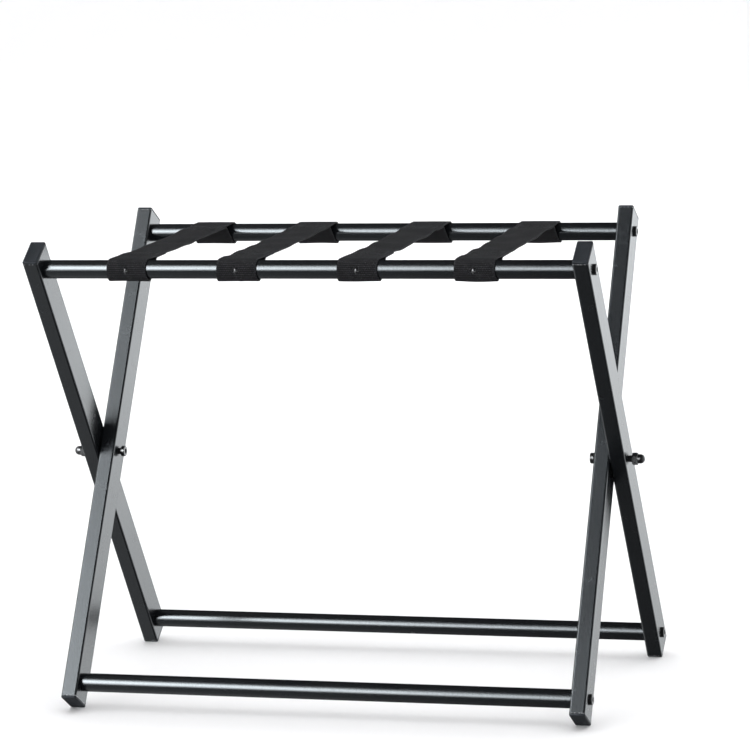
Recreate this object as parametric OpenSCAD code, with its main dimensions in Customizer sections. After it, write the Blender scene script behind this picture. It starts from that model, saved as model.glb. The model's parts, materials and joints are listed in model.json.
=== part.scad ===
// Folding luggage rack: two crossed tube frames on a pivot, joined by webbing straps.
// Millimetres. X runs along the rails, Y from front to back, Z up. The origin is on the floor,
// under the middle of the pivot line.

/* [Rack] */
// Width over the outer legs
rack_w = 680; // [480:5:800]
// Length of each leg, end caps included
leg_len = 650; // [500:5:720]
// Lean of each leg from upright when the rack is open
lean = 33; // [26:0.5:38]

/* [Legs] */
// Leg tube across its narrow face
leg_thick = 19; // [16:0.5:22]
// Leg tube across its wide face
leg_depth = 38; // [32:1:45]
// Wall of the leg tube
leg_wall = 1.2; // [1:0.1:2]
// Radius on the leg tube's long edges
leg_corner = 2.2; // [1.6:0.1:3]
// Gap between the crossed legs
leg_gap = 1; // [0.8:0.1:3]

/* [Rails] */
// Outside diameter of the rails
rail_d = 22; // [19:0.5:25]
// Wall of the rails
rail_wall = 1.2; // [1:0.1:2]
// Top rail's centre from the top end of its legs
top_rail_inset = 27; // [26:1:40]
// Bottom rail's centre from the bottom end of its legs
bottom_rail_inset = 26; // [25:1:40]
// Length of the threaded insert in each rail end
insert_len = 22; // [16:1:30]

/* [End caps] */
// Thickness of the cap that shows
cap_head = 3; // [2:0.5:5]
// Length of the stem inside the tube
cap_stem = 13; // [8:1:14]
// Depth trimmed off the foot's edge where it meets the floor
foot_flat = 0.6; // [0.3:0.1:1.2]

/* [Bolts] */
// Shank of the rail and pivot bolts
bolt_d = 8; // [6:1:8]
// Head of the rail bolts across
bolt_head_d = 13; // [12:0.5:15]
// Height of the rail bolts' heads
bolt_head_h = 3.5; // [3:0.5:6]
// Pivot bolt showing between the outer leg and its nut
nut_standoff = 4; // [1:0.5:6]
// Pivot bolt showing between the inner leg and its head
head_standoff = 3.5; // [1:0.5:6]
// Radial running clearance in the pivot holes
pivot_clear = 0.05; // [0.02:0.01:0.1]

/* [Straps] */
// Middle of each strap along the rails
strap_at = [-217, -82, 64, 203]; // [-270:1:270]
// Width of the webbing
strap_w = 48; // [38:1:52]
// Thickness of the webbing
strap_t = 1.8; // [1.2:0.1:2.5]
// Space between a rail and the webbing round it
strap_clear = 0.3; // [0.3:0.1:0.6]
// Sewn overlap at each end of a strap
hem_len = 34; // [20:1:50]

/* [Hidden] */
$fn = 64;

coat = "#24272b";
moulded = "#1d2024";
black_zinc = "#15161a";
steel = "#9a9da1";
webbing = "#1b1b1d";

eps = 0.01;
half_len = leg_len / 2;
half_depth = leg_depth / 2;
// The pivot is at mid-leg, and the feet are trimmed flat where they meet the floor.
pivot_z = half_len * cos(lean) + half_depth * sin(lean) - foot_flat;
// Distances from the pivot along a leg
top_r = half_len - top_rail_inset;
bottom_r = half_len - bottom_rail_inset;
// Inner faces of the legs
outer_leg_x = rack_w / 2 - leg_thick;
inner_leg_x = outer_leg_x - leg_gap - leg_thick;
// The top rails, in the view along X
rail_r = rail_d / 2;
rail_y = top_r * sin(lean);
rail_z = pivot_z + top_r * cos(lean);
// Strap round a rail
wrap_in = rail_r + strap_clear;
wrap_out = wrap_in + strap_t;
wrap_steps = 24;
// The hem starts this far behind the rail's axis, and the webbing leaves the rail on the
// tangent that reaches it.
hem_start = 30;
tail_turn = atan2(wrap_in - strap_t, hem_start) - acos(wrap_out / norm([hem_start, wrap_in - strap_t]));
// Rail bolts reach through the leg and into the insert
bolt_reach = leg_thick + insert_len - 6;
hex_socket = 6;
bolt_hole_clear = 0.2;
thread_bite = 0.6;
// Pivot bolt and its acorn nut
head_d = 13;
head_h = 4.5;
nut_flats = 13;
nut_base_h = 6.5;
nut_dome_d = 11.2;
nut_h = 15;
washer_d = 20;
washer_play = 0.1;
// Strap screws
screw_d = 4;
screw_head_d = 7.6;
screw_head_h = 2.4;
screw_len = 7;

// ---- Placing ----

// Stands a leg's own frame (Z along the leg, Y across its wide face) in the rack. The outer
// frame leans forwards at the top, and the inner frame leans back.
module on_outer() translate([0, 0, pivot_z]) rotate([lean, 0, 0]) children();
module on_inner() translate([0, 0, pivot_z]) rotate([-lean, 0, 0]) children();
// Repeats what points out at +X on the other side of the rack.
module both_sides() {
  children();
  mirror([1, 0, 0]) children();
}
// Turns what is built along Z to run along +X.
module along_x() rotate([0, 90, 0]) children();

// ---- Legs ----

// A rectangle with round corners, thick along X and deep along Y.
module round_rect(thick, deep, r) {
  square([thick - 2 * r, deep], center = true);
  square([thick, deep - 2 * r], center = true);
  for (x = [-1, 1], y = [-1, 1])
    translate([x * (thick / 2 - r), y * (deep / 2 - r)]) circle(r = r);
}

// A leg tube that lies against x_in, its inner face, on the right-hand side.
module leg(x_in) color(coat)
  difference() {
    translate([x_in + leg_thick / 2, 0, cap_head - half_len])
      linear_extrude(leg_len - 2 * cap_head)
        difference() {
          round_rect(leg_thick, leg_depth, leg_corner);
          round_rect(leg_thick - 2 * leg_wall, leg_depth - 2 * leg_wall, leg_corner - leg_wall);
        }
    leg_hole(x_in, 0, bolt_d / 2 + pivot_clear);
    leg_hole(x_in, top_r, bolt_d / 2 + bolt_hole_clear);
    leg_hole(x_in, -bottom_r, bolt_d / 2 + bolt_hole_clear);
  }

module leg_hole(x_in, z, r)
  translate([x_in - 1, 0, z]) along_x() cylinder(r = r, h = leg_thick + 2);

// An end cap: a head flush with the tube and a ribbed stem inside it, at the leg's top end.
module cap(x_in) color(moulded)
  translate([x_in + leg_thick / 2, 0, half_len - cap_head]) {
    cap_head_body();
    translate([0, 0, -cap_stem])
      linear_extrude(cap_stem)
        difference() {
          cap_stem_outline(0.6);
          cap_stem_outline(2.2);
        }
    for (z = [3, 7, 11])
      translate([0, 0, -z])
        linear_extrude(1)
          difference() {
            cap_stem_outline(0);
            cap_stem_outline(2);
          }
  }

module cap_stem_outline(inset)
  square([leg_thick - 2 * leg_wall - 2 * inset, leg_depth - 2 * leg_wall - 2 * inset],
    center = true);

// The head has a small step round its outer edge.
module cap_head_body() {
  step = 0.4;
  linear_extrude(cap_head - step) round_rect(leg_thick, leg_depth, leg_corner);
  linear_extrude(cap_head)
    round_rect(leg_thick - 2 * step, leg_depth - 2 * step, leg_corner - step);
}

// A foot is a cap turned over to the bottom end. The frame that holds it stands on its edge,
// which is trimmed to a narrow flat on the floor.
module foot_of(x_in) mirror([0, 0, 1]) cap(x_in);
module above_floor()
  intersection() {
    children();
    translate([-rack_w, -leg_len, 0]) cube([2 * rack_w, 2 * leg_len, leg_len]);
  }

// ---- Rails ----

// A round tube between the legs, at z along them.
module rail(x_in, z) color(coat)
  difference() {
    translate([-x_in, 0, z]) along_x() cylinder(d = rail_d, h = 2 * x_in);
    translate([-x_in - 1, 0, z]) along_x() cylinder(d = rail_d - 2 * rail_wall, h = 2 * x_in + 2);
  }

// A top rail, drilled for the strap screws on its outward side.
module drilled_rail(side) color(coat)
  difference() {
    if (side < 0) on_outer() rail(outer_leg_x, top_r);
    else on_inner() rail(inner_leg_x, top_r);
    for (x = strap_at)
      at_strap_screw(x, side) cylinder(d = screw_d - 0.2, h = rail_d);
  }

// Puts Z along a strap screw, pointing out of the rail, with the origin on the rail's axis.
module at_strap_screw(x, side)
  translate([x, side * rail_y, rail_z]) rotate([-90 * side, 0, 0]) children();

module inserts(x_in, z) color(steel)
  both_sides()
    translate([x_in - insert_len, 0, z]) along_x()
      difference() {
        cylinder(d = rail_d - 2 * rail_wall, h = insert_len);
        translate([0, 0, -1]) cylinder(d = bolt_d - 2 * thread_bite, h = insert_len + 2);
      }

// ---- Bolts ----

module hex_recess(across, depth)
  translate([0, 0, -depth]) cylinder(d = across / cos(30), h = depth + 1, $fn = 6);

// A low round head with a hexagon socket and a small bevel, on z = 0 and pointing up.
module bolt_head(d, h)
  difference() {
    rotate_extrude()
      polygon([[0, 0], [d / 2, 0], [d / 2, h - 0.6], [d / 2 - 0.6, h], [0, h]]);
    translate([0, 0, h]) hex_recess(hex_socket, h * 0.6);
  }

module rail_bolts(x_in, z) color(black_zinc)
  both_sides()
    translate([x_in + leg_thick, 0, z]) along_x() {
      bolt_head(bolt_head_d, bolt_head_h);
      translate([0, 0, -bolt_reach]) cylinder(d = bolt_d, h = bolt_reach + eps);
    }

// The pivot bolt comes through both legs from the inside, head first.
pivot_in_x = inner_leg_x - head_standoff;
nut_x = rack_w / 2 + nut_standoff;
module pivot_bolt() color(black_zinc)
  translate([0, 0, pivot_z]) {
    translate([pivot_in_x, 0, 0]) mirror([1, 0, 0]) along_x() bolt_head(head_d, head_h);
    translate([pivot_in_x - eps, 0, 0]) along_x()
      cylinder(d = bolt_d, h = nut_x - pivot_in_x + nut_base_h + 3);
  }

// An acorn nut: a bevelled hexagon with a domed cap, bored blind.
module pivot_nut() color(black_zinc)
  translate([nut_x, 0, pivot_z]) along_x()
    difference() {
      union() {
        intersection() {
          cylinder(d = nut_flats / cos(30), h = nut_base_h, $fn = 6);
          rotate_extrude()
            polygon([
              [0, 0], [nut_flats / 2, 0], [nut_flats * 0.6, 0.7],
              [nut_flats * 0.6, nut_base_h - 0.7], [nut_flats / 2, nut_base_h], [0, nut_base_h]
            ]);
        }
        cylinder(d = nut_dome_d, h = nut_h - nut_dome_d / 2);
        translate([0, 0, nut_h - nut_dome_d / 2]) sphere(d = nut_dome_d);
      }
      translate([0, 0, -1]) cylinder(d = bolt_d - 2 * thread_bite, h = nut_base_h + 4.5);
    }

// The washer bears on the outer leg, just clear of the inner leg.
module pivot_washer() color(moulded)
  translate([outer_leg_x - leg_gap + washer_play, 0, pivot_z]) along_x()
    difference() {
      cylinder(d = washer_d, h = leg_gap - washer_play);
      translate([0, 0, -1]) cylinder(d = bolt_d + 2 * pivot_clear, h = leg_gap + 2);
    }

// ---- Straps ----

// A strap is outlined as seen along the rails, with Y behind the front rail's axis and Z over it.
// It lies over each rail, passes round it and comes up to a hem sewn under the deck.
function arc(r, from, to) =
  [for (i = [0:wrap_steps]) let (a = from + (to - from) * i / wrap_steps) r * [cos(a), sin(a)]];
function and_mirrored(half) =
  concat(half, [for (i = [len(half) - 1:-1:0]) [2 * rail_y - half[i].x, half[i].y]]);

module strap_outline()
  difference() {
    polygon(and_mirrored(concat(
      [
        [hem_start + hem_len, wrap_in],
        [hem_start + hem_len, wrap_in - strap_t],
        [hem_start, wrap_in - strap_t]
      ],
      arc(wrap_out, 360 + tail_turn, 90)
    )));
    strap_loop();
    translate([2 * rail_y, 0]) mirror([1, 0]) strap_loop();
  }

// The inside of the loop round a rail
module strap_loop()
  polygon(concat(
    arc(wrap_in / cos((270 + tail_turn) / wrap_steps / 2), 90, 360 + tail_turn),
    [[(wrap_in - wrap_in * sin(tail_turn)) * -tan(tail_turn) + wrap_in * cos(tail_turn), wrap_in]]
  ));

module strap(x) color(webbing)
  difference() {
    translate([x - strap_w / 2, -rail_y, rail_z])
      rotate([90, 0, 90]) linear_extrude(strap_w) strap_outline();
    for (side = [-1, 1])
      at_strap_screw(x, side) cylinder(d = screw_d + 0.4, h = 2 * rail_r);
  }

// A pan head with a cross recess, seated on the webbing, and a shank into the rail.
module strap_screws(side) color(black_zinc)
  for (x = strap_at)
    at_strap_screw(x, side)
      translate([0, 0, wrap_out + 0.1]) {
        ball = (screw_head_d * screw_head_d / 4 + screw_head_h * screw_head_h)
          / (2 * screw_head_h);
        difference() {
          intersection() {
            translate([0, 0, screw_head_h - ball]) sphere(r = ball);
            cylinder(d = screw_head_d + 1, h = screw_head_h);
          }
          for (turn = [0, 90])
            rotate([0, 0, turn])
              translate([-1.9, -0.4, screw_head_h - 1.1]) cube([3.8, 0.8, 2]);
        }
        translate([0, 0, -screw_len]) cylinder(d = screw_d, h = screw_len + eps);
      }

// ---- The pieces ----

module left() mirror([1, 0, 0]) children();

module left_outer_leg() left() on_outer() leg(outer_leg_x);
module right_outer_leg() on_outer() leg(outer_leg_x);
module left_inner_leg() left() on_inner() leg(inner_leg_x);
module right_inner_leg() on_inner() leg(inner_leg_x);

module front_top_rail() drilled_rail(-1);
module back_bottom_rail() on_outer() rail(outer_leg_x, -bottom_r);
module back_top_rail() drilled_rail(1);
module front_bottom_rail() on_inner() rail(inner_leg_x, -bottom_r);

module front_top_rail_inserts() on_outer() inserts(outer_leg_x, top_r);
module back_bottom_rail_inserts() on_outer() inserts(outer_leg_x, -bottom_r);
module back_top_rail_inserts() on_inner() inserts(inner_leg_x, top_r);
module front_bottom_rail_inserts() on_inner() inserts(inner_leg_x, -bottom_r);

module front_top_rail_bolts() on_outer() rail_bolts(outer_leg_x, top_r);
module back_bottom_rail_bolts() on_outer() rail_bolts(outer_leg_x, -bottom_r);
module back_top_rail_bolts() on_inner() rail_bolts(inner_leg_x, top_r);
module front_bottom_rail_bolts() on_inner() rail_bolts(inner_leg_x, -bottom_r);

module left_outer_top_cap() left() on_outer() cap(outer_leg_x);
module right_outer_top_cap() on_outer() cap(outer_leg_x);
module left_inner_top_cap() left() on_inner() cap(inner_leg_x);
module right_inner_top_cap() on_inner() cap(inner_leg_x);

module left_outer_foot() above_floor() left() on_outer() foot_of(outer_leg_x);
module right_outer_foot() above_floor() on_outer() foot_of(outer_leg_x);
module left_inner_foot() above_floor() left() on_inner() foot_of(inner_leg_x);
module right_inner_foot() above_floor() on_inner() foot_of(inner_leg_x);

module left_pivot_bolt() left() pivot_bolt();
module right_pivot_bolt() pivot_bolt();
module left_pivot_nut() left() pivot_nut();
module right_pivot_nut() pivot_nut();
module left_pivot_washer() left() pivot_washer();
module right_pivot_washer() pivot_washer();

module strap_1() strap(strap_at[0]);
module strap_2() strap(strap_at[1]);
module strap_3() strap(strap_at[2]);
module strap_4() strap(strap_at[3]);
module front_strap_screws() strap_screws(-1);
module back_strap_screws() strap_screws(1);

left_outer_leg();
right_outer_leg();
left_inner_leg();
right_inner_leg();
front_top_rail();
back_bottom_rail();
back_top_rail();
front_bottom_rail();
front_top_rail_inserts();
back_bottom_rail_inserts();
back_top_rail_inserts();
front_bottom_rail_inserts();
front_top_rail_bolts();
back_bottom_rail_bolts();
back_top_rail_bolts();
front_bottom_rail_bolts();
left_outer_top_cap();
right_outer_top_cap();
left_inner_top_cap();
right_inner_top_cap();
left_outer_foot();
right_outer_foot();
left_inner_foot();
right_inner_foot();
left_pivot_bolt();
right_pivot_bolt();
left_pivot_nut();
right_pivot_nut();
left_pivot_washer();
right_pivot_washer();
strap_1();
strap_2();
strap_3();
strap_4();
front_strap_screws();
back_strap_screws();
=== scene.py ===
"""Folding luggage rack: the looks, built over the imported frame.

Metres. X runs along the rails, Y from front to back, Z up, with the origin on the floor.
"""

import json
import math
import random

import bpy
import numpy as np
from mathutils import Matrix, Vector


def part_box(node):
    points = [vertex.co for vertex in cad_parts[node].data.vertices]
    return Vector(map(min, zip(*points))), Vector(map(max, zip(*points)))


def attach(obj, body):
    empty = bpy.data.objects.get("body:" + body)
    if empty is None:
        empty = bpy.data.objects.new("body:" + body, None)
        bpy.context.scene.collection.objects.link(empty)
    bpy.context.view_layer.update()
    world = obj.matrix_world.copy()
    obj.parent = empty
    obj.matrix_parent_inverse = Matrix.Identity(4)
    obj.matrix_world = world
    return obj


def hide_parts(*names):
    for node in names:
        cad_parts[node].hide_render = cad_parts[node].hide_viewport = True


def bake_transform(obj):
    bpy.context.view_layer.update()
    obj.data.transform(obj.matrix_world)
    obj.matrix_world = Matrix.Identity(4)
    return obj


bl_info = {
    "name": "Folding Luggage Rack",
    "version": (1, 0, 0),
    "blender": (4, 5, 0),
    "location": "3D View > Sidebar > Luggage Rack",
    "description": "Models a folding luggage rack of coated tube with webbing straps",
    "category": "Add Mesh",
}

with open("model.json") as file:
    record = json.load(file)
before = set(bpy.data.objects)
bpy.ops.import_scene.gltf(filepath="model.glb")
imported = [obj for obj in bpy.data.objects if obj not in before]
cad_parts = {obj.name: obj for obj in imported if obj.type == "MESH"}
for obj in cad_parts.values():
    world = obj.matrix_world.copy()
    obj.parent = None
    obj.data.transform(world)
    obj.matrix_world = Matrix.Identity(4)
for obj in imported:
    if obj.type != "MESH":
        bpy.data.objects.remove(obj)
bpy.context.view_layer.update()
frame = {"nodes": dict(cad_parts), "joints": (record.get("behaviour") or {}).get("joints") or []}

MM = 0.001
OUTER, INNER = "outer_frame", "inner_frame"
STRAPS = ("strap_1", "strap_2", "strap_3", "strap_4")
PIVOT = Vector(frame["joints"][0]["pos_m"])


def centre(node):
    low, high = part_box(node)
    return (low + high) / 2


def size(node):
    low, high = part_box(node)
    return high - low


FRONT_RAIL = centre("front_top_rail")
BACK_RAIL = centre("back_top_rail")
RAIL_RADIUS = size("front_top_rail").z / 2
LEAN = math.atan2(BACK_RAIL.y, BACK_RAIL.z - PIVOT.z)
LEG_THICK = size("left_outer_leg").x
STRAP_WIDTH = size("strap_1").x


# ---- What a user can change ----


def length(label, about, default, low=0.0, high=1.0):
    return bpy.props.FloatProperty(
        name=label,
        description=about,
        default=default,
        min=low,
        max=high,
        precision=5,
        unit="LENGTH",
    )


def colour(label, about, default):
    return bpy.props.FloatVectorProperty(
        name=label,
        description=about,
        default=default,
        min=0.0,
        max=1.0,
        size=3,
        subtype="COLOR",
    )


def share(label, about, default):
    return bpy.props.FloatProperty(
        name=label, description=about, default=default, min=0.0, max=1.0, subtype="FACTOR"
    )


class RackCaps(bpy.types.PropertyGroup):
    leg_length: length("Leg length", "Length of a leg, end caps included", 0.650)
    leg_depth: length("Leg depth", "Leg tube across its wide face", 0.038)
    corner: length("Corner radius", "Radius on the leg tube's long edges", 0.0022)
    head: length("Head", "Thickness of the cap that shows past the tube", 0.003)
    edge: length("Edge", "Round on the rim of the cap", 0.0016)
    stem: length("Stem", "Length of the ribbed stem inside the tube", 0.013)


class RackWebbing(bpy.types.PropertyGroup):
    thickness: length("Thickness", "Thickness of the webbing", 0.0018)
    clearance: length("Clearance", "Space between a rail and the webbing", 0.0003)
    hem: length("Hem", "Sewn overlap at each end of a strap", 0.034)
    hem_start: length("Hem start", "From the rail's axis to the hem", 0.030)
    hem_bend: length("Hem bend", "Radius where the tail meets the hem", 0.008)
    cell: length("Cell", "Size of a mesh cell along and across the webbing", 0.0015)
    sag: length("Sag", "How far the middle of a strap hangs", 0.0022)
    bulge: length("Bulge", "How far the webbing stands off under a rail", 0.0011)
    flare: length("Flare", "How far the edges spread under a rail", 0.0012)
    rib: length("Rib", "Pitch of the ribs across the webbing", 0.0021)
    yarn: length("Yarn", "Pitch of the yarns along the webbing", 0.0026)
    stitch: length("Stitch", "Length of a stitch", 0.0032)
    thread: length("Thread", "Diameter of the sewing thread", 0.0009)


class RackFinish(bpy.types.PropertyGroup):
    coat: colour("Coat", "Powder coat on the tubes", (0.0045, 0.0052, 0.0062))
    leg_roughness: share("Leg roughness", "How soft the legs' reflections are", 0.25)
    rail_roughness: share("Rail roughness", "How soft the rails' reflections are", 0.22)
    bolt_roughness: share("Bolt roughness", "How soft the bolts' reflections are", 0.30)
    screw_roughness: share("Screw roughness", "How soft the screws' reflections are", 0.22)
    # Colour of the painted highlight, drawn as bright chips along the legs' cut ends
    seam_highlight: colour("Chips", "Bright metal where the coat is worn", (0.34, 0.35, 0.36))
    moulded: colour("Moulding", "End caps", (0.013, 0.015, 0.018))
    hardware: colour("Hardware", "Bolts and nuts", (0.006, 0.006, 0.007))
    steel: colour("Steel", "Threaded inserts", (0.56, 0.57, 0.58))
    nylon: colour("Nylon", "Spacer washers", (0.030, 0.030, 0.032))
    # The webbing's grooves are painted at a small share of this colour, as painted shade
    webbing: colour("Webbing", "Crowns of the webbing's yarns", (0.016, 0.016, 0.018))
    lint: colour("Lint", "Pale fibres caught on the webbing", (0.16, 0.16, 0.165))
    thread: colour("Thread", "Sewing thread", (0.030, 0.031, 0.033))


class RackStudio(bpy.types.PropertyGroup):
    floor: colour("Floor", "Colour of the floor", (0.86, 0.86, 0.87))
    panel: bpy.props.FloatProperty(
        name="Panel",
        description="Brightness of the white panel in reflections",
        default=42.0,
        min=0.0,
    )
    ceiling: bpy.props.FloatProperty(
        name="Ceiling", description="Power of the ceiling light", default=20.0, unit="POWER"
    )
    floor_wash: bpy.props.FloatProperty(
        name="Floor wash",
        description="Power of the light on the floor behind",
        default=60.0,
        unit="POWER",
    )
    surround: bpy.props.FloatProperty(
        name="Surround",
        description="Brightness of the even light all round",
        default=1.17,
        min=0.0,
    )
    backdrop: bpy.props.FloatProperty(
        name="Backdrop", description="Brightness behind the rack", default=2.0, min=0.0
    )
    azimuth: bpy.props.FloatProperty(
        name="Azimuth",
        description="Camera's turn round the rack, from straight in front",
        default=math.radians(16.04),
        subtype="ANGLE",
    )
    elevation: bpy.props.FloatProperty(
        name="Elevation",
        description="Camera's tilt down",
        default=math.radians(8.17),
        subtype="ANGLE",
    )
    roll: bpy.props.FloatProperty(
        name="Roll", description="Camera's roll", default=math.radians(-2.25), subtype="ANGLE"
    )
    lens: bpy.props.FloatProperty(
        name="Lens",
        description="Focal length in millimetres",
        default=170.5,
        unit="CAMERA",
    )


# ---- Shaders ----


class Value:
    """A node's output that adds Math nodes when it is used in an expression."""

    def __init__(self, graph, socket):
        self.graph, self.socket = graph, socket

    def __add__(self, other):
        return self.graph.math("ADD", self, other)

    def __radd__(self, other):
        return self.graph.math("ADD", other, self)

    def __sub__(self, other):
        return self.graph.math("SUBTRACT", self, other)

    def __rsub__(self, other):
        return self.graph.math("SUBTRACT", other, self)

    def __mul__(self, other):
        return self.graph.math("MULTIPLY", self, other)

    def __rmul__(self, other):
        return self.graph.math("MULTIPLY", other, self)

    def __truediv__(self, other):
        return self.graph.math("DIVIDE", self, other)

    def __rtruediv__(self, other):
        return self.graph.math("DIVIDE", other, self)

    def __abs__(self):
        return self.graph.math("ABSOLUTE", self)


class Graph:
    """The nodes of one material or world."""

    def __init__(self, owner):
        owner.use_nodes = True
        self.tree = owner.node_tree
        self.tree.nodes.clear()

    def node(self, kind, inputs=(), output=0, **settings):
        """Adds a node: its settings first, then the values or links of its sockets."""
        made = self.tree.nodes.new(kind)
        for name, value in settings.items():
            setattr(made, name, value)
        for name, value in dict(inputs).items():
            socket = made.inputs[name]
            if isinstance(value, Value):
                self.tree.links.new(value.socket, socket)
            elif isinstance(value, (tuple, list)) and socket.type == "RGBA":
                socket.default_value = (*value[:3], 1.0)
            else:
                socket.default_value = value
        return Value(self, made.outputs[output]) if made.outputs else made

    def math(self, operation, *terms):
        return self.node("ShaderNodeMath", dict(enumerate(terms)), operation=operation)

    def place(self):
        return self.node("ShaderNodeTexCoord", output="Object")

    def axes(self, vector):
        """The three parts of a vector."""
        first = self.node("ShaderNodeSeparateXYZ", {"Vector": vector})
        outputs = first.socket.node.outputs
        return [Value(self, outputs[i]) for i in range(3)]

    def vector(self, x, y, z=0.0):
        return self.node("ShaderNodeCombineXYZ", {"X": x, "Y": y, "Z": z})

    def noise(self, place, scale, detail=2.0, roughness=0.5):
        return self.node(
            "ShaderNodeTexNoise",
            {"Vector": place, "Scale": scale, "Detail": detail, "Roughness": roughness},
            output="Fac",
        )

    def stretched(self, place, scale):
        return self.node("ShaderNodeVectorMath", {0: place, 1: scale}, operation="MULTIPLY")

    def step(self, value, low, high, start=0.0, end=1.0):
        """Goes smoothly from start at low to end at high."""
        return self.node(
            "ShaderNodeMapRange",
            {
                "Value": value,
                "From Min": low,
                "From Max": high,
                "To Min": start,
                "To Max": end,
            },
            interpolation_type="SMOOTHSTEP",
        )

    def mix(self, share_of_second, first, second):
        """A colour between two."""
        return self.node(
            "ShaderNodeMix", {0: share_of_second, 6: first, 7: second}, output=2, data_type="RGBA"
        )

    def bump(self, height, distance, strength):
        return self.node(
            "ShaderNodeBump", {"Height": height, "Distance": distance, "Strength": strength}
        )

    def surface(self, inputs):
        shader = self.node("ShaderNodeBsdfPrincipled", inputs)
        self.node("ShaderNodeOutputMaterial", {"Surface": shader})


def material(name):
    """A new material, and the graph of its nodes."""
    made = bpy.data.materials.new(name)
    return made, Graph(made)


def scaled(rgb, by):
    return tuple(min(1.0, c * by) for c in rgb)


def powder_coat(name, finish, roughness, cut):
    """Semi-gloss powder coat: a fine orange peel, and a painted highlight along the legs' cut ends,
    drawn as bright chips on the seam. Those are as far from the pivot as cut says."""
    made, g = material(name)
    place = g.place()
    cloud = g.noise(place, 9.0, 3.0)
    peel = g.noise(place, 430.0, 2.0)
    grain = g.noise(place, 2400.0, 1.0)
    _, y, z = g.axes(place)
    along = abs(y) * math.sin(LEAN) + abs(z - PIVOT.z) * math.cos(LEAN)
    # Painted highlight: bright chips along the seam with the cap stand in for the light line on
    # that edge
    seam = g.step(abs(along - cut), 0.0004, 0.0011, 1.0, 0.0)
    seam_highlight_chips = seam * g.step(g.noise(place, 620.0, 2.0), 0.46, 0.60)
    rubbed = g.step(g.noise(place, 55.0, 4.0, 0.65), 0.55, 0.75)
    base = g.mix(cloud, scaled(finish.coat, 0.85), scaled(finish.coat, 1.2))
    g.surface(
        {
            "Base Color": g.mix(seam_highlight_chips * 0.8, base, tuple(finish.seam_highlight)),
            "Roughness": roughness + (cloud - 0.5) * 0.08 + rubbed * 0.05,
            "IOR": 1.44,
            "Specular Tint": (0.92, 0.97, 1.0),
            "Normal": g.bump(peel * 0.75 + grain * 0.25, 0.00008, 0.8),
        }
    )
    return made


def moulded_plastic(finish):
    """Matte plastic of the end caps, with a fine grain, and scuffed pale near the floor."""
    made, g = material("moulded_plastic")
    place = g.place()
    grain = g.noise(place, 1500.0, 3.0, 0.6)
    cloud = g.noise(place, 45.0, 3.0)
    _, _, z = g.axes(place)
    scuffed = g.step(z, 0.0, 0.012, 1.0, 0.0) * g.step(g.noise(place, 260.0, 4.0), 0.5, 0.7)
    base = g.mix(cloud, scaled(finish.moulded, 0.8), scaled(finish.moulded, 1.3))
    g.surface(
        {
            "Base Color": g.mix(scuffed * 0.35, base, (0.12, 0.12, 0.12)),
            "Roughness": 0.52 + grain * 0.16 + scuffed * 0.1,
            "IOR": 1.49,
            "Specular IOR Level": 0.15,
            "Normal": g.bump(grain, 0.00005, 0.5),
        }
    )
    return made


def black_zinc(name, finish, roughness):
    """Glossy black plating with a soft mottle and rubbed spots."""
    made, g = material(name)
    place = g.place()
    mottle = g.noise(place, 320.0, 3.0)
    fine = g.noise(place, 1900.0, 2.0)
    g.surface(
        {
            "Base Color": g.mix(
                g.step(mottle, 0.35, 0.75),
                scaled(finish.hardware, 0.8),
                scaled(finish.hardware, 2.0),
            ),
            "Roughness": roughness + (mottle - 0.5) * 0.12,
            "IOR": 1.5,
            "Coat Weight": 0.12,
            "Coat Roughness": 0.15,
            "Normal": g.bump(fine, 0.00002, 0.4),
        }
    )
    return made


def turned_steel(finish):
    """Bare steel of the threaded inserts, with turning marks round the X axis."""
    made, g = material("turned_steel")
    place = g.place()
    marks = g.noise(g.stretched(place, (3500.0, 60.0, 60.0)), 1.0, 3.0)
    g.surface(
        {
            "Base Color": g.mix(marks, scaled(finish.steel, 0.8), tuple(finish.steel)),
            "Metallic": 1.0,
            "Roughness": 0.26 + marks * 0.2,
            "Normal": g.bump(marks, 0.00003, 0.5),
        }
    )
    return made


def washer_nylon(finish):
    """Black nylon with a soft cloud."""
    made, g = material("washer_nylon")
    place = g.place()
    cloud = g.noise(place, 400.0, 3.0)
    g.surface(
        {
            "Base Color": g.mix(cloud, scaled(finish.nylon, 0.8), scaled(finish.nylon, 1.25)),
            "Roughness": 0.38 + cloud * 0.14,
            "Normal": g.bump(cloud, 0.00004, 0.4),
        }
    )
    return made


def woven_webbing(finish, webbing, strap_size):
    """Ribs across the strap, each broken into yarn crowns, with a corded edge on both sides, and
    painted shade in the grooves.
    The pattern follows the strap's own UV map, which is in shares of its width and length."""
    made, g = material("woven_webbing")
    across, along, _ = g.axes(g.node("ShaderNodeUVMap"))
    x = across * strap_size[0]
    y = along * strap_size[1]
    jitter = g.noise(g.vector(x, y), 130.0, 2.0) - 0.5
    row = y / webbing.rib + jitter * 0.35
    odd = g.math("MODULO", g.math("FLOOR", row), 2.0)
    rib = abs(g.math("SINE", row * math.pi))
    yarn = abs(g.math("SINE", (x / webbing.yarn + odd * 0.5 + jitter * 0.25) * math.pi))
    body = rib * (0.45 + yarn * 0.55)
    cord = abs(g.math("SINE", (y / (webbing.rib * 1.5)) * math.pi))
    edge = g.step(abs(across - 0.5), 0.462, 0.474)
    height = body + edge * (0.35 + cord * 0.5 - body)
    dust = g.step(g.noise(g.vector(x, y), 420.0, 4.0, 0.75), 0.52, 0.70)
    worn = g.step(g.noise(g.vector(x, y), 45.0, 3.0), 0.35, 0.65, 0.25, 1.0)
    # Painted shade: the grooves between yarn crowns are painted down to 0.08 of the crowns' colour
    base = g.mix(height, scaled(finish.webbing, 0.08), scaled(finish.webbing, 1.0))
    g.surface(
        {
            "Base Color": g.mix(dust * worn * height * 0.5, base, tuple(finish.lint)),
            "Roughness": 0.88 - height * 0.18,
            "Specular IOR Level": 0.10,
            "Normal": g.bump(height, 0.0007, 1.0),
        }
    )
    return made


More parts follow.
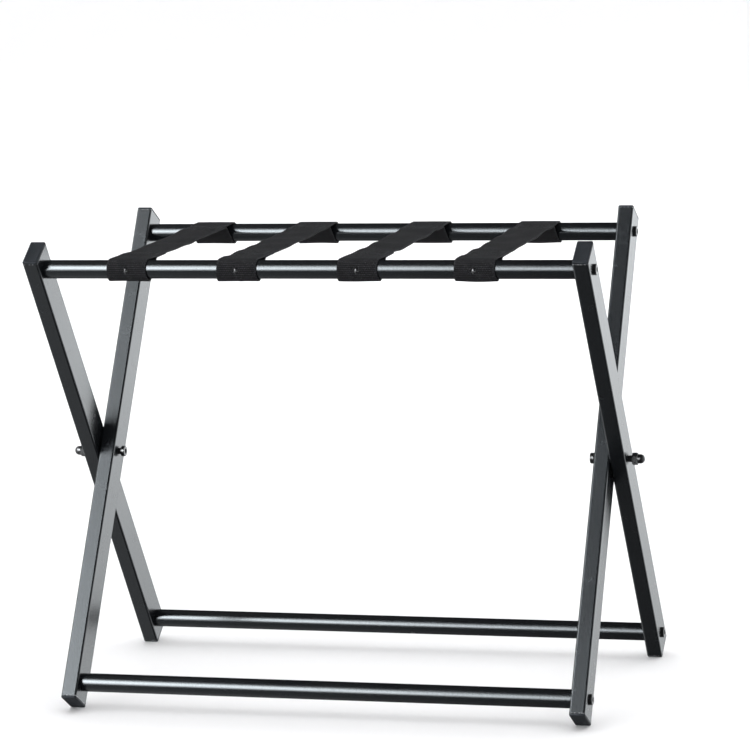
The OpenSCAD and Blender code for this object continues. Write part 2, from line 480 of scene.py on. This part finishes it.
def sewing_thread(finish):
    """Black thread with a fine twist."""
    made, g = material("sewing_thread")
    place = g.place()
    twist = g.noise(place, 2600.0, 2.0)
    g.surface(
        {
            "Base Color": g.mix(twist, scaled(finish.thread, 0.6), scaled(finish.thread, 1.3)),
            "Roughness": 0.6 + twist * 0.15,
            "Specular IOR Level": 0.12,
            "Normal": g.bump(twist, 0.00008, 0.6),
        }
    )
    return made


def finish_node(node, made):
    """Puts a material on a CAD node."""
    slots = frame["nodes"][node].material_slots
    if not slots:
        raise RuntimeError(f"{node} has no material slot")
    for slot in slots:
        slot.material = made


# ---- Modelling ----


def deselect():
    if bpy.context.mode != "OBJECT":
        bpy.ops.object.mode_set(mode="OBJECT")
    bpy.ops.object.select_all(action="DESELECT")


def make_active(piece):
    deselect()
    piece.select_set(True)
    bpy.context.view_layer.objects.active = piece


def pick(piece, mode, test):
    """In edit mode, selects the vertices, edges or faces that pass a test, and nothing else."""
    bpy.ops.object.mode_set(mode="EDIT")
    bpy.ops.mesh.select_mode(type=mode)
    bpy.ops.mesh.select_all(action="DESELECT")
    bpy.ops.object.mode_set(mode="OBJECT")
    mesh = piece.data
    parts = {"VERT": mesh.vertices, "EDGE": mesh.edges, "FACE": mesh.polygons}[mode]
    found = 0
    for part in parts:
        if test(part):
            part.select = True
            found += 1
    if not found:
        raise RuntimeError(f"nothing to select on {piece.name}")
    bpy.ops.object.mode_set(mode="EDIT")


def edge_ends(piece, edge):
    return [piece.data.vertices[i].co for i in edge.vertices]


def apply_place(piece):
    make_active(piece)
    bpy.ops.object.transform_apply(location=True, rotation=True, scale=True)


def apply_modifiers(piece):
    make_active(piece)
    for modifier in list(piece.modifiers):
        bpy.ops.object.modifier_apply(modifier=modifier.name)


def smooth(piece, degrees=35.0):
    make_active(piece)
    bpy.ops.object.shade_smooth_by_angle(angle=math.radians(degrees))


def face_out(piece):
    """Merges doubles and turns every face outwards."""
    make_active(piece)
    bpy.ops.object.mode_set(mode="EDIT")
    bpy.ops.mesh.select_all(action="SELECT")
    bpy.ops.mesh.remove_doubles(threshold=1e-6)
    bpy.ops.mesh.normals_make_consistent(inside=False)
    bpy.ops.object.mode_set(mode="OBJECT")


def copied(model, name):
    made = model.copy()
    made.data = model.data.copy()
    made.name = made.data.name = name
    bpy.context.scene.collection.objects.link(made)
    return made


def joined(pieces, name):
    deselect()
    for piece in pieces:
        piece.select_set(True)
    bpy.context.view_layer.objects.active = pieces[0]
    bpy.ops.object.join()
    made = bpy.context.view_layer.objects.active
    made.name = made.data.name = name
    return made


def finished(piece, made):
    """Gives a piece its material."""
    piece.data.materials.clear()
    piece.data.materials.append(made)
    return piece


# ---- End caps ----

# The bevel at the seam between a cap and its tube
SEAM_BEVEL = 0.2 * MM
# The sunk panel on a cap's head: how much smaller than the head it is, its depth and its taper
PANEL_MARGIN = 2.2 * MM
PANEL_DEPTH = 0.15 * MM
PANEL_TAPER = 0.4 * MM
# The stem: how much smaller than the head it is, and its ribs
STEM_MARGIN = 3.6 * MM
RIBS = 3
RIB_SPACING = 0.22
RIB_SLOPE = 0.3 * MM
RIB_LAND = 1.0 * MM
RIB_PROUD = 1.0 * MM


def extrude_narrowed(caps, rise, narrowing):
    """Extrudes the selected face along Z and makes it narrower all round by half of narrowing."""
    bpy.ops.mesh.extrude_region_move(TRANSFORM_OT_translate={"value": (0, 0, rise)})
    bpy.ops.transform.resize(
        value=(1 - narrowing / LEG_THICK, 1 - narrowing / caps.leg_depth, 1)
    )


def tube_end(caps):
    """From the pivot to a leg tube's cut end."""
    return caps.leg_length / 2 - caps.head


def cap_model(caps):
    """One cap at the origin: its seat on the tube at z = 0, its stem below, its head above."""
    deselect()
    bpy.ops.mesh.primitive_cube_add(
        size=1.0,
        location=(0, 0, caps.head / 2),
        scale=(LEG_THICK, caps.leg_depth, caps.head),
    )
    cap = bpy.context.object
    cap.name = "cap_model"
    apply_place(cap)
    # Round the four upright corners as the tube's are
    pick(
        cap,
        "EDGE",
        lambda e: abs(edge_ends(cap, e)[0].z - edge_ends(cap, e)[1].z) > caps.head / 2,
    )
    bpy.ops.mesh.bevel(offset=caps.corner, segments=8, affect="EDGES")
    # Round the rim of the head, and break the edge at the seam
    bpy.ops.object.mode_set(mode="OBJECT")
    pick(
        cap,
        "EDGE",
        lambda e: all(v.z > caps.head - 1e-6 for v in edge_ends(cap, e)),
    )
    bpy.ops.mesh.bevel(offset=caps.edge, segments=4, affect="EDGES")
    bpy.ops.object.mode_set(mode="OBJECT")
    pick(cap, "EDGE", lambda e: all(v.z < 1e-6 for v in edge_ends(cap, e)))
    bpy.ops.mesh.bevel(offset=SEAM_BEVEL, segments=2, affect="EDGES")
    # A shallow sunk panel on top, as such caps are moulded
    bpy.ops.object.mode_set(mode="OBJECT")
    pick(cap, "FACE", lambda f: f.normal.z > 0.99 and f.center.z > caps.head - 1e-5)
    extrude_narrowed(caps, 0.0, PANEL_MARGIN)
    extrude_narrowed(caps, -PANEL_DEPTH, PANEL_TAPER)
    # The stem: thin ribs that grip the tube, with shoulders between them
    bpy.ops.object.mode_set(mode="OBJECT")
    pick(cap, "FACE", lambda f: f.normal.z < -0.99 and f.center.z < 1e-5)
    extrude_narrowed(caps, 0.0, STEM_MARGIN)
    for _ in range(RIBS):
        extrude_narrowed(caps, -caps.stem * RIB_SPACING, 0.0)
        extrude_narrowed(caps, -RIB_SLOPE, -RIB_PROUD)
        extrude_narrowed(caps, -RIB_LAND, 0.0)
        extrude_narrowed(caps, -RIB_SLOPE, RIB_PROUD)
    bpy.ops.object.mode_set(mode="OBJECT")
    face_out(cap)
    return cap


def place_cap(piece, x, lean, top, reach):
    """Stands a copy of the cap on a leg's end. A foot is the same cap turned over."""
    turn = Matrix.Rotation(lean, 4, "X")
    if not top:
        turn = turn @ Matrix.Rotation(math.pi, 4, "X")
    piece.matrix_world = (
        Matrix.Translation((x, PIVOT.y, PIVOT.z)) @ turn @ Matrix.Translation((0, 0, reach))
    )
    bpy.context.view_layer.update()
    apply_place(piece)


class LUGGAGERACK_OT_end_caps(bpy.types.Operator):
    """Models the plastic caps on the legs' top ends and the feet"""

    bl_idname = "luggage_rack.end_caps"
    bl_label = "End Caps"

    def execute(self, context):
        caps = context.scene.rack_caps
        made = moulded_plastic(context.scene.rack_finish)
        model = cap_model(caps)
        reach = tube_end(caps)
        for side in ("left", "right"):
            for which, body, lean in (("outer", OUTER, LEAN), ("inner", INNER, -LEAN)):
                x = centre(f"{side}_{which}_leg").x
                for part in ("top_cap", "foot"):
                    node = f"{side}_{which}_{part}"
                    cap = copied(model, f"{node}_moulding")
                    place_cap(cap, x, lean, part == "top_cap", reach)
                    face_out(cap)
                    smooth(cap)
                    finished(cap, made)
                    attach(cap, body)
                    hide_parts(node)
        bpy.data.objects.remove(model)
        return {"FINISHED"}


# ---- Webbing ----

# Space between a hem and the deck above it
HEM_GAP = 0.1 * MM
# Points along half a strap's path, close enough to follow its bends
PATH_POINTS = 8001
# How far round a screw the webbing is pressed flat
HELD_FLAT = 6.5 * MM
# How far its looseness reaches under a rail and in front of it, and how high the front crowns
LOOSE_UNDER = 10.5 * MM
LOOSE_FRONT = 12 * MM
FRONT_CROWN = 0.55 * MM
# Each strap creases in its own way, the same on every run
FIRST_SEED = 11
SEED_STEP = 7


class StrapPath:
    """The line along the middle of a strap's thickness, as seen along the rails.

    It is measured from the hem's end: along the hem, down the tail, round the front rail and over
    the deck to the middle, and the same again in reverse to the other end."""

    def __init__(self, webbing):
        radius = RAIL_RADIUS + webbing.clearance + webbing.thickness / 2
        under = radius - webbing.thickness - HEM_GAP
        reach = math.hypot(webbing.hem_start, under)
        turn = math.atan2(under, webbing.hem_start) - math.acos(radius / reach)
        tail = math.sqrt(reach**2 - radius**2)
        rise = math.pi / 2 + turn
        cut = webbing.hem_bend * math.tan(rise / 2)
        wrap = 1.5 * math.pi + turn
        self.deck_half = (BACK_RAIL.y - FRONT_RAIL.y) / 2
        runs = (
            (webbing.hem - cut, 0.0),
            (webbing.hem_bend * rise, rise),
            (tail - cut, 0.0),
            (radius * wrap, -wrap),
            (self.deck_half, 0.0),
        )
        ends = np.cumsum([0.0] + [run for run, _ in runs])
        turns = np.cumsum([math.pi] + [bend for _, bend in runs])
        self.wrap_start, self.wrap_end = ends[3], ends[4]
        self.half = ends[-1]
        self.length = 2 * self.half
        self.screw = self.wrap_start + radius * (wrap - math.pi / 2)
        self.radius = radius
        fine = np.linspace(0.0, self.half, PATH_POINTS)
        heading = np.interp(fine, ends, turns)
        step = fine[1] - fine[0]
        middle = (heading[:-1] + heading[1:]) / 2
        y = np.concatenate(([0.0], np.cumsum(np.cos(middle)) * step))
        z = np.concatenate(([0.0], np.cumsum(np.sin(middle)) * step))
        self.fine, self.heading = fine, heading
        # The deck's middle is half way between the rails, and a wrap's radius above their axes
        self.y = y - y[-1]
        self.z = z - z[-1] + FRONT_RAIL.z + radius

    def at(self, run):
        """(y, z) and the outward direction at each distance along the strap."""
        run = np.asarray(run, float)
        back = run > self.half
        near = np.where(back, self.length - run, run)
        y, z = np.interp(near, self.fine, self.y), np.interp(near, self.fine, self.z)
        heading = np.interp(near, self.fine, self.heading)
        sign = np.where(back, -1.0, 1.0)
        return y * sign, z, -np.sin(heading) * sign, np.cos(heading)

    def near_end(self, run):
        """The distance from the nearer end of the strap."""
        return np.minimum(run, self.length - run)


def bell(value, middle, width):
    return np.exp(-(((value - middle) / width) ** 2))


def ramp(value, low, high):
    t = np.clip((value - low) / (high - low), 0.0, 1.0)
    return t * t * (3.0 - 2.0 * t)


class Creases:
    """How one strap departs from a flat band: loose webbing under each rail, folds that run out
    from the screws, a shallow sag, and edges that wander a little."""

    def __init__(self, path, webbing, seed):
        self.path, self.webbing = path, webbing
        chance = random.Random(seed)
        self.folds = [
            [
                (
                    chance.uniform(0, 2 * math.pi),
                    chance.uniform(0.35, 0.9) * MM,
                    chance.uniform(1.3, 2.4) * MM,
                    chance.uniform(11, 20) * MM,
                )
                for _ in range(7)
            ]
            + [(math.radians(chance.uniform(205, 245)), 1.25 * MM, 2.0 * MM, 21 * MM)]
            for _ in range(2)
        ]
        self.waves = [
            (
                chance.uniform(14, 46) * MM,
                chance.uniform(0, 2 * math.pi),
                chance.uniform(0.10, 0.32) * MM,
            )
            for _ in range(7)
        ]
        self.lean = [chance.uniform(-1, 1) for _ in range(8)]

    def offset(self, across, run):
        """Outward lift and sideways shift at a place on the strap, in metres."""
        path, web = self.path, self.webbing
        back = run > path.half
        near = path.near_end(run)
        lift = np.zeros_like(near)
        shift = np.zeros_like(near)
        u = across / (STRAP_WIDTH / 2)
        for end, mask in ((0, ~back), (1, back)):
            ahead = near - path.screw
            reach = np.hypot(across, ahead)
            angle = np.arctan2(-ahead, across)
            pressed = 1.0 - np.exp(-((reach / HELD_FLAT) ** 2))
            # Loose webbing, fullest just under the rail and uneven across the strap
            under = bell(near, path.screw - path.radius * 1.35, LOOSE_UNDER)
            uneven = 0.75 + 0.45 * np.sin(u * 2.3 + 2.5 * self.lean[end]) * self.lean[2 + end]
            front = bell(near, path.screw + 2 * MM, LOOSE_FRONT)
            crown = FRONT_CROWN * front * (0.6 + 0.4 * np.cos(u * 2.6))
            over = (web.bulge * under * uneven + crown) * pressed
            for direction, height, width, far in self.folds[end]:
                along = np.cos(direction) * across - np.sin(direction) * ahead
                beside = np.sin(direction) * across + np.cos(direction) * ahead
                fold = bell(beside, 0, width * (0.6 + reach / far))
                fold = fold * ramp(along, 2.5 * MM, 7 * MM)
                over = over + height * fold * (1 - ramp(along, far * 0.6, far))
            one_sided = 0.8 + 0.5 * self.lean[4 + end] * np.sign(u)
            spread = web.flare * under * np.sign(u) * np.abs(u) ** 1.5 * one_sided
            over = np.maximum(over, 0.0)
            lift = np.where(mask, over, lift)
            shift = np.where(mask, spread, shift)
        deck = ramp(near, path.wrap_end + 4 * MM, path.wrap_end + 40 * MM)
        middle = 1 - (np.abs(run - path.half) / path.deck_half) ** 2
        lift = lift - deck * web.sag * np.clip(middle, 0, 1)
        hemmed = ramp(near, path.wrap_start, path.wrap_end)
        for pitch, phase, height in self.waves:
            slant = phase + u * 1.7 * math.sin(phase)
            lift = lift + deck * height * np.sin(run * 2 * math.pi / pitch * 0.35 + slant)
        shift = shift + hemmed * 0.35 * MM * np.sin(run * 60 + self.lean[6] * 3)
        return lift, shift

    def point(self, across, run, above=0.0):
        """A point of the strap's middle surface, moved out by above."""
        y, z, out_y, out_z = self.path.at(run)
        lift, shift = self.offset(across, run)
        lift = lift + above
        return np.stack([across + shift, y + out_y * lift, z + out_z * lift], -1)


def strap_band(name, x, path, creases, webbing):
    """One strap: a flat grid of the webbing's own size, laid along its path and thickened."""
    deselect()
    bpy.ops.mesh.primitive_grid_add(
        x_subdivisions=round(STRAP_WIDTH / webbing.cell),
        y_subdivisions=round(path.length / webbing.cell),
        size=1.0,
        location=(0, 0, 0),
    )
    strap = bpy.context.object
    strap.name = strap.data.name = name
    mesh = strap.data
    flat = np.zeros(len(mesh.vertices) * 3, np.float32)
    mesh.vertices.foreach_get("co", flat)
    flat = flat.reshape(-1, 3).astype(float)
    places = creases.point(flat[:, 0] * STRAP_WIDTH, (flat[:, 1] + 0.5) * path.length)
    places[:, 0] += x
    mesh.vertices.foreach_set("co", places.astype(np.float32).ravel())
    mesh.update()
    thick = strap.modifiers.new("thickness", "SOLIDIFY")
    thick.thickness = webbing.thickness
    thick.offset = 0.0
    thick.use_even_offset = True
    edges = strap.modifiers.new("edges", "BEVEL")
    edges.width = webbing.thickness * 0.28
    edges.segments = 2
    edges.limit_method = "ANGLE"
    edges.angle_limit = math.radians(60)
    apply_modifiers(strap)
    smooth(strap, 50)
    return strap


def span_frames(piece, node):
    """Bakes a piece's placement into its mesh."""
    x = centre(node).x
    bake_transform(piece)


class LUGGAGERACK_OT_straps(bpy.types.Operator):
    """Models the four webbing straps, looped and sewn round the two top rails"""

    bl_idname = "luggage_rack.straps"
    bl_label = "Webbing Straps"

    def execute(self, context):
        webbing = context.scene.rack_webbing
        path = StrapPath(webbing)
        made = woven_webbing(context.scene.rack_finish, webbing, (STRAP_WIDTH, path.length))
        for number, node in enumerate(STRAPS):
            creases = Creases(path, webbing, FIRST_SEED + SEED_STEP * number)
            strap = strap_band(f"{node}_webbing", centre(node).x, path, creases, webbing)
            finished(strap, made)
            span_frames(strap, node)
            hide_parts(node)
        return {"FINISHED"}


# ---- Sewing ----

# The sewn box: in from the strap's edges, from the hem's end and from the tail
SIDE_MARGIN = 5 * MM
END_MARGIN = 4 * MM
TAIL_MARGIN = 6 * MM
# From one stitch to the next, in stitch lengths
STITCH_PITCH = 1.15


def stitch_model(webbing):
    """One stitch along X: a short thread that dips into the webbing at both ends."""
    deselect()
    bpy.ops.mesh.primitive_cylinder_add(
        vertices=6,
        radius=webbing.thread / 2,
        depth=webbing.stitch * 0.6,
        rotation=(0, math.pi / 2, 0),
    )
    stitch = bpy.context.object
    stitch.name = "stitch_model"
    apply_place(stitch)
    for side in (-1, 1):
        pick(stitch, "FACE", lambda f: f.normal.x * side > 0.9)
        bpy.ops.mesh.extrude_region_move(
            TRANSFORM_OT_translate={
                "value": (side * webbing.stitch * 0.17, 0, -webbing.thread * 0.7)
            }
        )
        bpy.ops.transform.resize(value=(1, 0.7, 0.7))
        bpy.ops.object.mode_set(mode="OBJECT")
    face_out(stitch)
    smooth(stitch, 60)
    return stitch


def box_and_cross(low, high, half_width, pitch):
    """Places and directions of the stitches of a sewn box with a cross in it."""
    corners = [(-half_width, low), (half_width, low), (half_width, high), (-half_width, high)]
    lines = [(corners[i], corners[(i + 1) % 4]) for i in range(4)]
    lines += [(corners[0], corners[2]), (corners[1], corners[3])]
    for (x0, y0), (x1, y1) in lines:
        run = math.hypot(x1 - x0, y1 - y0)
        count = max(2, round(run / pitch))
        for i in range(count):
            t = (i + 0.5) / count
            yield x0 + (x1 - x0) * t, y0 + (y1 - y0) * t, (x1 - x0) / run, (y1 - y0) / run


class LUGGAGERACK_OT_sewing(bpy.types.Operator):
    """Sews each strap's two hems to its deck with a box and cross of raised stitches"""

    bl_idname = "luggage_rack.sewing"
    bl_label = "Hem Stitching"

    def execute(self, context):
        webbing = context.scene.rack_webbing
        made = sewing_thread(context.scene.rack_finish)
        model = stitch_model(webbing)
        path = StrapPath(webbing)
        half_width = STRAP_WIDTH / 2 - SIDE_MARGIN
        low, high = END_MARGIN, webbing.hem - TAIL_MARGIN
        for number, node in enumerate(STRAPS):
            creases = Creases(path, webbing, FIRST_SEED + SEED_STEP * number)
            stitches = []
            for across, run, step_x, step_run in box_and_cross(
                low, high, half_width, webbing.stitch * STITCH_PITCH
            ):
                hem_y = path.at(run)[0]
                over = path.half + hem_y
                for far_end in (False, True):
                    for place in (run, over):
                        at = path.length - place if far_end else place
                        sign = -1 if far_end else 1
                        # The hem runs towards the rail and the deck above it runs away from it
                        ahead = step_run * sign * (1 if place == run else -1)
                        stitches.append((across, float(at), step_x, float(ahead)))
            copies = []
            for across, at, step_x, step_run in stitches:
                spot = creases.point(np.array(across), np.array(at), webbing.thickness / 2)
                next_spot = creases.point(
                    np.array(across + step_x * MM),
                    np.array(at + step_run * MM),
                    webbing.thickness / 2,
                )
                _, _, out_y, out_z = path.at(at)
                x_axis = Vector(next_spot - spot).normalized()
                up = Vector((0.0, float(out_y), float(out_z)))
                y_axis = up.cross(x_axis).normalized()
                up = x_axis.cross(y_axis)
                copy = copied(model, f"{node}_stitch")
                turn = Matrix((x_axis, y_axis, up)).transposed().to_4x4()
                spot = Vector(spot) + Vector((centre(node).x, 0, 0)) + up * webbing.thread * 0.25
                copy.data.transform(Matrix.Translation(spot) @ turn)
                copies.append(copy)
            sewing = joined(copies, f"{node}_stitching")
            finished(sewing, made)
            span_frames(sewing, node)
        bpy.data.objects.remove(model)
        return {"FINISHED"}


# ---- Tubes and hardware ----


class LUGGAGERACK_OT_coat_tubes(bpy.types.Operator):
    """Coats the legs and rails, and finishes the inserts in the rails' ends"""

    bl_idname = "luggage_rack.coat_tubes"
    bl_label = "Tubes"

    def execute(self, context):
        finish = context.scene.rack_finish
        cut = tube_end(context.scene.rack_caps)
        legs = powder_coat("leg_coat", finish, finish.leg_roughness, cut)
        rails = powder_coat("rail_coat", finish, finish.rail_roughness, cut)
        steel = turned_steel(finish)
        for node in frame["nodes"]:
            if node.endswith("_leg"):
                finish_node(node, legs)
            elif node.endswith("_rail"):
                finish_node(node, rails)
            elif node.endswith("_inserts"):
                finish_node(node, steel)
        return {"FINISHED"}


class LUGGAGERACK_OT_hardware(bpy.types.Operator):
    """Finishes the bolts, acorn nuts, spacer washers and strap screws"""

    bl_idname = "luggage_rack.hardware"
    bl_label = "Hardware"

    def execute(self, context):
        finish = context.scene.rack_finish
        bolts = black_zinc("black_bolts", finish, finish.bolt_roughness)
        screws = black_zinc("strap_screws", finish, finish.screw_roughness)
        nylon = washer_nylon(finish)
        for node in frame["nodes"]:
            if node.endswith(("_bolts", "_bolt", "_nut")):
                finish_node(node, bolts)
            elif node.endswith("_strap_screws"):
                finish_node(node, screws)
            elif node.endswith("_washer"):
                finish_node(node, nylon)
        return {"FINISHED"}


# ---- Studio ----

FLOOR_SIZE = 60.0
# The floor is just under the feet, so that the two don't flicker
FLOOR_DROP = 0.2 * MM
CAMERA_PLACE = (1.2005, -4.0538, 1.0954)
# In millimetres, as the lens is
SENSOR_WIDTH = 36.0
# In sensor widths
SHIFT_UP = -0.12


def overhead_light(name, place, wide, deep, power):
    """A soft light that shines straight down and isn't mirrored in the gloss."""
    light = bpy.data.lights.new(name, "AREA")
    light.shape = "RECTANGLE"
    light.size, light.size_y = wide, deep
    light.energy = power
    made = bpy.data.objects.new(name, light)
    made.location = place
    made.visible_camera = made.visible_glossy = False
    bpy.context.scene.collection.objects.link(made)
    return made


class LUGGAGERACK_OT_studio(bpy.types.Operator):
    """Sets up the floor, the lights, the white surround and the camera"""

    bl_idname = "luggage_rack.studio"
    bl_label = "Studio"

    def execute(self, context):
        studio = context.scene.rack_studio
        deselect()
        bpy.ops.mesh.primitive_plane_add(size=FLOOR_SIZE, location=(0, 0, -FLOOR_DROP))
        floor = bpy.context.object
        floor.name = "studio_floor"
        made, g = material("studio_floor")
        g.surface(
            {
                "Base Color": tuple(studio.floor),
                "Roughness": 0.7,
                "Specular IOR Level": 0.2,
            }
        )
        floor.data.materials.append(made)
        floor.visible_glossy = False

        world = bpy.data.worlds.new("studio_surround")
        context.scene.world = world
        g = Graph(world)
        direction = g.node("ShaderNodeTexCoord", output="Generated")
        x, y, z = g.axes(direction)
        # What the gloss mirrors: a bright wall behind to the right, a tall white panel ahead to the
        # left, and a dim floor and ceiling
        wall = g.step(x, -0.05, 0.12) * g.step(y, 0.1, 0.5) * g.step(z, 0.2, 0.7, 1.0, 0.1)
        wall = wall * (studio.backdrop + g.step(x, 0.22, 0.36) * 1.9)
        wall = wall * g.step(z, -0.27, -0.12, 0.5, 1.0)
        wide = g.step(x + z * 0.25, -0.25, -0.065, 1.0, 0.0) * g.step(x, -0.75, -0.52)
        tall = g.step(z, -0.18, 0.42) * g.step(z, 0.50, 0.86, 1.0, 0.0)
        ahead = g.step(y, -0.1, 0.5, 1.0, 0.0)
        floor_glow = g.step(z, -0.95, -0.2, 0.85, 0.75) * g.step(x, -0.35, -0.21, 1.0, 0.08)
        dim = floor_glow * g.step(z, -0.1, 0.3, 1.0, 0.35) * g.step(y, 0.3, 0.75, 1.0, 0.12)
        sides = g.step(abs(x), 0.5, 0.85) * 0.7
        glow = dim + sides + wall + wide * tall * ahead * studio.panel
        even = g.node("ShaderNodeBackground", {"Color": (1, 1, 1), "Strength": studio.surround})
        mirrored = g.node(
            "ShaderNodeBackground", {"Color": (0.95, 0.98, 1.0), "Strength": glow}
        )
        glossy_ray = g.node("ShaderNodeLightPath", output="Is Glossy Ray")
        shader = g.node("ShaderNodeMixShader", {0: glossy_ray, 1: even, 2: mirrored})
        g.node("ShaderNodeOutputWorld", {"Surface": shader})

        overhead_light("ceiling_light", (0.2, 0.3, 2.6), 3.0, 3.0, studio.ceiling)
        overhead_light("floor_wash", (0.6, 3.6, 2.0), 6.0, 3.0, studio.floor_wash)

        camera = bpy.data.cameras.new("camera")
        camera.lens = studio.lens
        camera.sensor_width = SENSOR_WIDTH
        camera.shift_y = SHIFT_UP
        camera.clip_start, camera.clip_end = 0.1, 100.0
        eye = bpy.data.objects.new("camera", camera)
        a, e = studio.azimuth, studio.elevation
        back = Vector((math.sin(a) * math.cos(e), -math.cos(a) * math.cos(e), math.sin(e)))
        turn = back.to_track_quat("Z", "Y").to_matrix() @ Matrix.Rotation(studio.roll, 3, "Z")
        eye.matrix_world = Matrix.Translation(CAMERA_PLACE) @ turn.to_4x4()
        context.scene.collection.objects.link(eye)
        context.scene.camera = eye
        context.scene.view_settings.view_transform = "Standard"
        return {"FINISHED"}


# ---- Add-on ----

OPERATORS = (
    LUGGAGERACK_OT_studio,
    LUGGAGERACK_OT_coat_tubes,
    LUGGAGERACK_OT_hardware,
    LUGGAGERACK_OT_end_caps,
    LUGGAGERACK_OT_straps,
    LUGGAGERACK_OT_sewing,
)


class LUGGAGERACK_PT_sidebar(bpy.types.Panel):
    bl_idname = "LUGGAGERACK_PT_sidebar"
    bl_label = "Luggage Rack"
    bl_space_type = "VIEW_3D"
    bl_region_type = "UI"
    bl_category = "Luggage Rack"

    def draw(self, context):
        for operator in OPERATORS:
            self.layout.operator(operator.bl_idname)
        for name in GROUPS:
            box = self.layout.box()
            group = getattr(context.scene, name)
            for field in group.bl_rna.properties:
                if field.identifier not in ("rna_type", "name"):
                    box.prop(group, field.identifier)


GROUPS = {
    "rack_caps": RackCaps,
    "rack_webbing": RackWebbing,
    "rack_finish": RackFinish,
    "rack_studio": RackStudio,
}
CLASSES = (*GROUPS.values(), *OPERATORS, LUGGAGERACK_PT_sidebar)


def register():
    for made in CLASSES:
        bpy.utils.register_class(made)
    for name, group in GROUPS.items():
        setattr(bpy.types.Scene, name, bpy.props.PointerProperty(type=group))


def unregister():
    for name in GROUPS:
        delattr(bpy.types.Scene, name)
    for made in reversed(CLASSES):
        bpy.utils.unregister_class(made)


def main():
    register()
    bpy.ops.luggage_rack.studio()
    bpy.ops.luggage_rack.coat_tubes()
    bpy.ops.luggage_rack.hardware()
    bpy.ops.luggage_rack.end_caps()
    bpy.ops.luggage_rack.straps()
    bpy.ops.luggage_rack.sewing()


if __name__ == "__main__":
    main()
